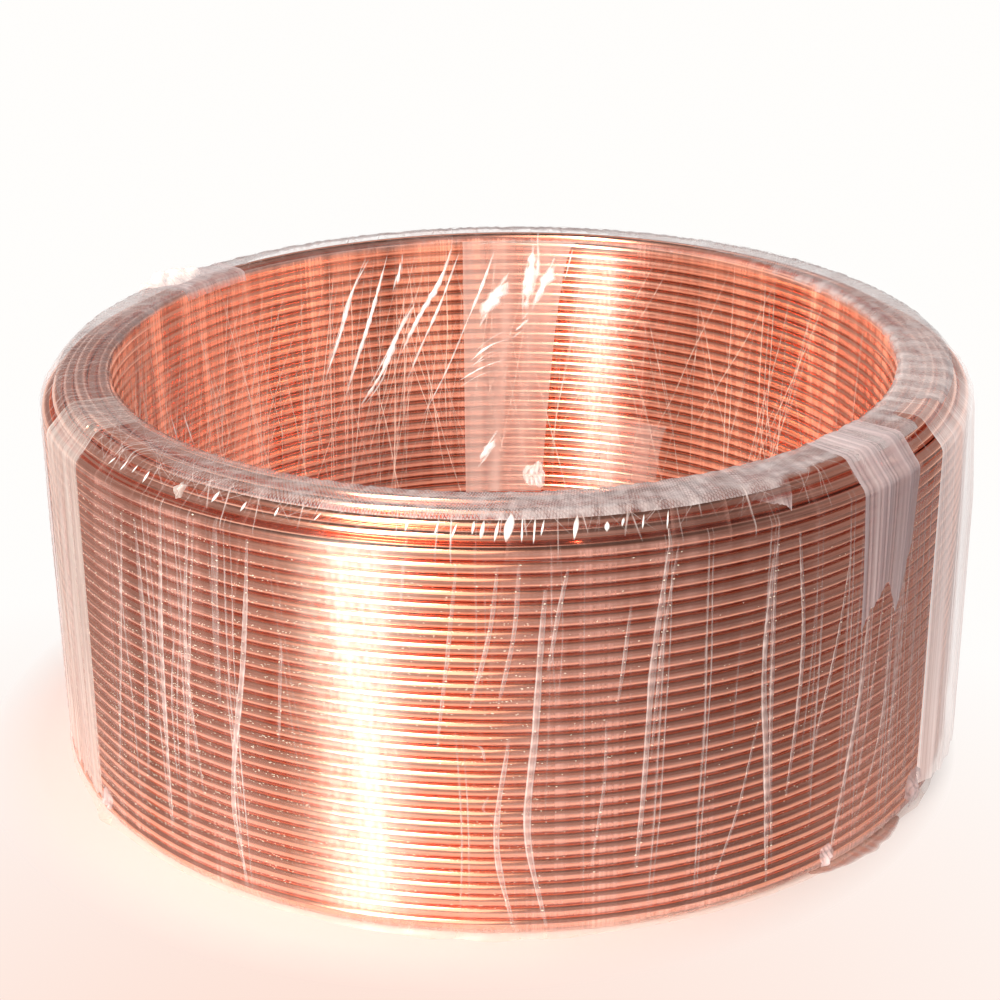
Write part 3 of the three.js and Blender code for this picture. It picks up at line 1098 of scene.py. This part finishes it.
def speckMesh():
    picks = np.random.default_rng(speckLook["seed"])
    angle, height = speckPlaces(picks)
    beadAngle, beadHeight = beadPlaces(picks)
    specks, beads = len(angle), len(beadAngle)
    drawn = (("long", specks), ("beadLong", beads), ("wide", specks), ("beadWide", beads))
    sizes = [picks.uniform(*speckLook[key], count) for key, count in drawn]
    long, wide = np.concatenate(sizes[:2]), np.concatenate(sizes[2:])
    angle, height = np.concatenate([angle, beadAngle]), np.concatenate([height, beadHeight])
    count = specks + beads
    lean = picks.choice(speckLook["lean"], count, p=speckLook["leanShares"]) * picks.choice([-1, 1], count)
    points = []
    for ahead, beside in ((1, 0), (0, 1), (-1, 0), (0, -1)):
        side = ahead * long * np.cos(lean) - beside * wide * np.sin(lean)
        rise = ahead * long * np.sin(lean) + beside * wide * np.cos(lean)
        points.append(onFilm(angle + side / outerRadius, outerAt(height) + rise, speckLook["stand"]))
    points = np.stack(points, 1).reshape(-1, 3)
    mesh = bpy.data.meshes.new("specks")
    mesh.from_pydata(points.tolist(), [], np.arange(len(points)).reshape(-1, 4).tolist())
    corners = np.tile([0, 0, 0.001, 0, 0.001, 0.001, 0, 0.001], count)
    mesh.uv_layers.new(name="lie").data.foreach_set("uv", corners)
    haze = np.full(len(points), speckLook["haze"], np.float32)
    mesh.attributes.new("haze", "FLOAT", "POINT").data.foreach_set("value", haze)
    return placed("specks", mesh)


finishedFilm(speckMesh(), glintFilm)
print("glints are set")

# each band crosses the rim and hangs down the outer wall: its edges as angles in degrees at the rim and the
# foot, its hem as (share of the width, height), how slack it hangs, how much fainter it is over the rim and
# how much its right half thins out
hangingBands = dict(
    leftBand=dict(
        top=(-158, -147), foot=(-163, -148.5), hem=((0, 0.016), (0.8, 0.010), (1, 0.006)),
        slack=0.0, haze=0.50, lift=0.0012, pleats=5, ragged=0.006, seed=21, overRim=0.35),
    rightBand=dict(
        top=(-48.0, -36.5), foot=(-47.4, -39.0),
        hem=((0, 0.184), (0.10, 0.194), (0.50, 0.217), (0.74, 0.186), (1, 0.236)),
        slack=0.001, haze=0.80, lift=0.0024, pleats=3, ragged=0.003, seed=22),
    rightVeil=dict(
        top=(-31, 4), foot=(-32, 2),
        hem=((0, 0.014), (0.2, 0.004), (0.5, 0.002), (0.7, 0.016), (0.85, 0.012), (1, 0.060)),
        slack=0.006, haze=0.60, lift=0.0020, pleats=8, ragged=0.002, seed=23, overRim=0.60, thins=0.62),
    tornTab=dict(
        top=(-63.0, -57.2), foot=(-62.6, -58.0), hem=((0, 0.309), (0.75, 0.300), (0.9, 0.295), (1, 0.306)),
        slack=0.0, haze=0.80, lift=0.0026, pleats=2, ragged=0.001, seed=32, overRim=0.9),
    backBand=dict(
        top=(138, 152), foot=(141, 150), hem=((0, 0.075), (0.4, 0.055), (1, 0.068)),
        slack=0.002, haze=0.50, lift=0.0024, pleats=4, ragged=0.010, seed=24),
)
bandLook = dict(rows=70, columns=90, stray=0.0015, folds=0.0005, fine=0.00018, edge=0.018, overBore=0.006)
bandFinishes = dict(leftBand=paleFilm, rightVeil=veilFilm)


def hangingBand(name, top, foot, hem, slack, haze, lift, pleats, ragged, seed, overRim=0.0, thins=0.0):
    share = np.linspace(0, 1, bandLook["rows"])[:, None]
    t = np.linspace(0, 1, bandLook["columns"])[None, :]
    end = np.interp(share, *zip(*hem)) + ragged * 0.5 * wander(share * 7, seed, 7, 1, 9)
    bottom = outerAt(np.maximum(end, 0.001))
    along = bottom + (boreHighAt + bandLook["overBore"] - bottom) * t
    lowest = min(height for _, height in hem)
    down = np.clip((shoulderAt - along) / (shoulderAt - outerAt(lowest)), 0, 1)
    left, right = (top[side] + (foot[side] - top[side]) * down for side in (0, 1))
    stray = bandLook["stray"] * wander(along * 14, seed + 1, 4, 1, 3)
    angle = np.radians(left + (right - left) * share) + stray
    folds = np.sin(fullTurn * pleats * share + 1.7 * np.sin(4 * share + 5 * along) + 0.8)
    fine = wander(share * fullTurn, seed + 2, 10, 6, 26, along, 7)
    hang = np.sin(math.pi * share) ** 0.7 * np.clip(down * 3, 0, 1)
    rise = lift + slack * hang + bandLook["folds"] * folds + bandLook["fine"] * fine
    edge = np.exp(-np.minimum(share, 1 - share) / bandLook["edge"])
    milky = haze * (0.9 + 0.10 * folds + 0.07 * fine + 0.35 * edge)
    milky = milky * (1 - overRim * np.clip((along - outerTopAt) / 0.010, 0, 1))
    milky = milky * (1 - thins * np.clip((share - 0.48) / 0.22, 0, 1) * (1 - 0.35 * fine))
    return filmMesh(name, onFilm(angle, along, rise), together(angle * outerRadius, along), milky, 0.1, 0.97)


for name, look in hangingBands.items():
    finishedFilm(hangingBand(name, **look), bandFinishes.get(name, gatheredFilm))

# slack sheets over the bore wall: corners as angles in degrees at the top and foot, and heights; stripe is
# where a milkier fold runs down, as a share of the width
boreSheets = dict(
    boreVeil=dict(left=(97.0, 97.2), right=(77.3, 83.5), top=0.304, foot=0.056, lift=0.006, haze=0.50,
                  stripe=0.36, seed=91),
    borePatch=dict(left=(72.6, 72.8), right=(60.0, 62.5), top=0.136, foot=0.060, lift=0.002, haze=0.30,
                   stripe=None, seed=95),
)
sheetLook = dict(rows=60, columns=80, clear=0.0022, edge=0.02, stripe=0.30, stripeHalf=0.07)


def boreSheet(name, left, right, top, foot, lift, haze, stripe, seed):
    share = np.linspace(0, 1, sheetLook["rows"])[:, None]
    t = np.linspace(0, 1, sheetLook["columns"])[None, :]
    along = boreAt(top) + (boreAt(foot) - boreAt(top)) * t
    start, end = left[0] + (left[1] - left[0]) * t, right[0] + (right[1] - right[0]) * np.sqrt(t)
    angle = np.radians(start + (end - start) * share)
    slack = np.sin(math.pi * share) * np.sin(math.pi * np.clip(t + 0.12, 0, 1))
    fold = wander(share * 3, seed, 7, 1, 5, along, 14)
    milky = haze * (0.9 + 0.15 * fold) * (1 + 0.3 * np.exp(-share / sheetLook["edge"]))
    if stripe:
        across = (share - stripe - 0.13 + 0.10 * t) / sheetLook["stripeHalf"]
        milky = milky + sheetLook["stripe"] * np.exp(-across ** 2) * np.clip(t * 3, 0, 1)
    points = onFilm(angle, along, sheetLook["clear"] + lift * slack + 0.12 * lift * fold)
    return filmMesh(name, points, together(angle * boreRadius, along), milky, 0.03, 0.9)


for name, look in boreSheets.items():
    finishedFilm(boreSheet(name, **look), slackFilm)

# small crumpled scraps: place, size, and how far they stand off
scraps = dict(
    rimKnot=dict(angle=148, along=shoulderAt + 0.003, size=(0.070, 0.034), seed=31, lift=0.003, puff=0.006),
    leftCorner=dict(angle=-146.5, along=outerAt(0.012), size=(0.016, 0.016), seed=33),
    rightCorner=dict(angle=-33, along=outerAt(0.016), size=(0.030, 0.030), seed=34, lift=0.002),
    footTuft=dict(angle=-51, along=outerAt(0.008), size=(0.014, 0.018), seed=35),
    boreScrap=dict(angle=84.6, along=boreAt(0.074), size=(0.026, 0.026), seed=37, lift=0.003, puff=0.004),
    shoulderKnot=dict(angle=-128.2, along=shoulderAt - 0.012, size=(0.007, 0.012), seed=38),
)
scrapLook = dict(rows=30, fineCrease=0.4, edge=0.12)
# the rim knot and the bore scrap take glowing film, painted light; the bore scrap's white is a painted
# highlight
scrapFinishes = dict(rimKnot=veilFilm, boreScrap=foldFilm, shoulderKnot=paleFilm)


def crumpledScrap(name, angle, along, size, seed, lift=0.001, puff=0.003):
    share = np.linspace(-0.5, 0.5, scrapLook["rows"])[:, None]
    t = np.linspace(-0.5, 0.5, scrapLook["rows"])[None, :]
    fade = np.clip(1 - 4 * (share ** 2 + t ** 2), 0, 1) ** 0.5
    crumple = np.abs(wander(share * 5, seed, 7, 1, 3, t * 5, 2))
    crumple = crumple + scrapLook["fineCrease"] * np.abs(wander(share * 12 + t * 9, seed + 1, 5, 1, 2))
    edge = 1 + scrapLook["edge"] * wander(np.arctan2(t, share), seed + 2, 5, 1, 6)
    place = math.radians(angle) + share * size[0] * edge / outerRadius
    points = onFilm(place, along + t * size[1] * edge, lift + puff * fade * crumple)
    mapping, inside = together(share * size[0], t * size[1]), share ** 2 + t ** 2 < 0.25
    return filmMesh(name, points, mapping, 0.35 + 0.4 * crumple * fade, 0.1, 0.9, keep=inside)


for name, look in scraps.items():
    finishedFilm(crumpledScrap(name, **look), scrapFinishes.get(name, gatheredFilm))
print("bands and scraps are laid")

stageLook = dict(
    size=12.0,
    roughness=0.7,
    floor=(0.82, 0.77, 0.77, 1),
    room=(0.22, 0.21, 0.23, 1),
    paleTo=(0.44, 0.66),
    pink=(0.99, 0.74, 0.64, 1),
    white=(1.0, 0.988, 0.970, 1),
    middle=(0.0, 0.0, 0.0),
    pinkest=(-0.12, -0.55, 0.0),
    reach=(0.0, 0.80),
    glowFrom=(-0.030, -0.028, 0.0),
    glow=(0.347, 0.392),
    behind=(0.3, 0.9),
)


def vectorValue(tree, operation, source, other):
    node = addNode(tree, "ShaderNodeVectorMath", operation=operation)
    node.inputs[1].default_value = other
    tree.links.new(source, node.inputs[0])
    return node.outputs["Value"]


def mixShaders(tree, amount, first, second):
    node = addNode(tree, "ShaderNodeMixShader")
    for socket, source in zip(node.inputs, (amount, first, second)):
        tree.links.new(source, socket)
    return node.outputs[0]


def separated(tree, source):
    node = addNode(tree, "ShaderNodeSeparateXYZ")
    tree.links.new(source, node.inputs[0])
    return node


# 1 for what is seen straight on, and as much as given for what the copper and the film show
def seenPlain(tree, mirrored):
    path = addNode(tree, "ShaderNodeLightPath")
    shown = mathNode(tree, "MAXIMUM", path.outputs["Is Glossy Ray"], path.outputs["Is Transmission Ray"])
    shown = mathNode(tree, "MULTIPLY", shown, mirrored)
    return mathNode(tree, "MAXIMUM", path.outputs["Is Camera Ray"], shown)


# a pale floor that keeps the shadow near the coil and runs out into plain white; the copper shows that white
# too where it lies behind the coil, and elsewhere it shows the floor as the lamps light it
def makeFloor():
    half = stageLook["size"] / 2
    points = np.array([[(x, y, filmLow[2]) for y in (-half, half)] for x in (-half, half)], float)
    floor = gridMesh("floor", points, np.zeros((2, 2, 2)))
    material, tree, shader = blankMaterial("paleFloor", Roughness=stageLook["roughness"])
    position = addNode(tree, "ShaderNodeNewGeometry").outputs["Position"]

    def farFrom(centre, reach):
        return ramp(tree, vectorValue(tree, "DISTANCE", position, stageLook[centre]), *stageLook[reach])

    glow = addNode(tree, "ShaderNodeEmission", Strength=1.0)
    tone = blendColours(tree, farFrom("pinkest", "reach"), stageLook["pink"], stageLook["white"])
    tree.links.new(tone, glow.inputs["Color"])
    tone = blendColours(tree, farFrom("middle", "paleTo"), stageLook["floor"], stageLook["room"])
    tree.links.new(tone, shader.inputs["Base Color"])
    behind = ramp(tree, separated(tree, position).outputs["Y"], *stageLook["behind"])
    plain = mathNode(tree, "MULTIPLY", seenPlain(tree, behind), farFrom("glowFrom", "glow"))
    outward = shader.outputs[0].links[0].to_socket
    tree.links.new(mixShaders(tree, plain, shader.outputs[0], glow.outputs[0]), outward)
    floor.data.materials.append(material)


# a low white backdrop behind, which the copper shows too, and a plain grey room with one darker side
worldLook = dict(
    backdrop=(0.0, 1.0, 0.0),
    edge=(0.45, 0.80),
    top=(0.12, 0.26),
    darkest=(0.797, -0.498, 0.342),
    darkEdge=(0.86, 0.97),
    dim=(0.18, 0.17, 0.19, 1),
    lit=(0.33, 0.31, 0.33, 1),
    overhead=0.22,
    overheadFrom=(0.62, 0.88),
)


def makeWorld():
    world = bpy.data.worlds.new("studio")
    bpy.context.scene.world = world
    world.use_nodes = True
    tree = world.node_tree
    tree.nodes.clear()
    white = addNode(tree, "ShaderNodeBackground", Color=stageLook["white"], Strength=1.0)
    room = addNode(tree, "ShaderNodeBackground")
    place = addNode(tree, "ShaderNodeTexCoord").outputs["Generated"]
    height = separated(tree, place).outputs["Z"]
    towards = [vectorValue(tree, "DOT_PRODUCT", place, worldLook[key]) for key in ("darkest", "backdrop")]
    away = ramp(tree, towards[0], *worldLook["darkEdge"], 1, 0)
    tree.links.new(blendColours(tree, away, worldLook["dim"], worldLook["lit"]), room.inputs["Color"])
    overhead = ramp(tree, height, *worldLook["overheadFrom"], 1, worldLook["overhead"])
    tree.links.new(overhead, room.inputs["Strength"])
    behind = ramp(tree, towards[1], *worldLook["edge"])
    low = ramp(tree, height, *worldLook["top"], 1, 0)
    plain = seenPlain(tree, mathNode(tree, "MULTIPLY", behind, low))
    output = addNode(tree, "ShaderNodeOutputWorld")
    tree.links.new(mixShaders(tree, plain, room.outputs[0], white.outputs[0]), output.inputs["Surface"])


def direction(azimuth, elevation):
    turn, rise = math.radians(azimuth), math.radians(elevation)
    return Vector((math.cos(rise) * math.cos(turn), math.cos(rise) * math.sin(turn), math.sin(rise)))


# azimuth and elevation in degrees, distance and size in metres
lampLook = dict(
    key=dict(azimuth=-121.5, elevation=35, distance=2.6, size=(0.42, 2.6), power=86, color=(1.0, 0.94, 0.85)),
    front=dict(azimuth=-112, elevation=30, distance=2.8, size=(1.7, 2.2), power=21, color=(1.0, 0.84, 0.71)),
    back=dict(azimuth=112, elevation=52, distance=3.2, size=(2.0, 1.2), power=7, color=(0.97, 0.98, 1.0)),
)


def makeLamp(name, azimuth, elevation, distance, size, power, color):
    light = bpy.data.lights.new(name, "AREA")
    light.shape = "RECTANGLE"
    light.size, light.size_y = size
    light.energy = power
    light.color = color
    lamp = placed(name, light)
    away = direction(azimuth, elevation)
    lamp.location = Vector((0, 0, coilHigh[2] / 2)) + away * distance
    lamp.rotation_euler = (-away).to_track_quat("-Z", "Y").to_euler()


cameraLook = dict(
    target=(-0.0044, 0.0, 0.1736),
    distance=1.7085,
    azimuth=-89.84,
    elevation=22.65,
    roll=0.61,
    lens=76.3,
    sensor=36,
    nearest=0.05,
)


def makeCamera():
    lens = bpy.data.cameras.new("camera")
    lens.lens = cameraLook["lens"]
    lens.sensor_width = cameraLook["sensor"]
    lens.clip_start = cameraLook["nearest"]
    camera = placed("camera", lens)
    away = direction(cameraLook["azimuth"], cameraLook["elevation"])
    right = (-away).cross(Vector((0, 0, 1))).normalized()
    right.rotate(Matrix.Rotation(math.radians(cameraLook["roll"]), 3, -away))
    up = right.cross(-away)
    place = Matrix((right, up, away)).transposed().to_4x4()
    place.translation = Vector(cameraLook["target"]) + away * cameraLook["distance"]
    camera.matrix_world = place
    bpy.context.scene.camera = camera


makeFloor()
makeWorld()
for name, look in lampLook.items():
    makeLamp(name, **look)
makeCamera()
bpy.context.scene.view_settings.view_transform = "Standard"
print("stage is set")
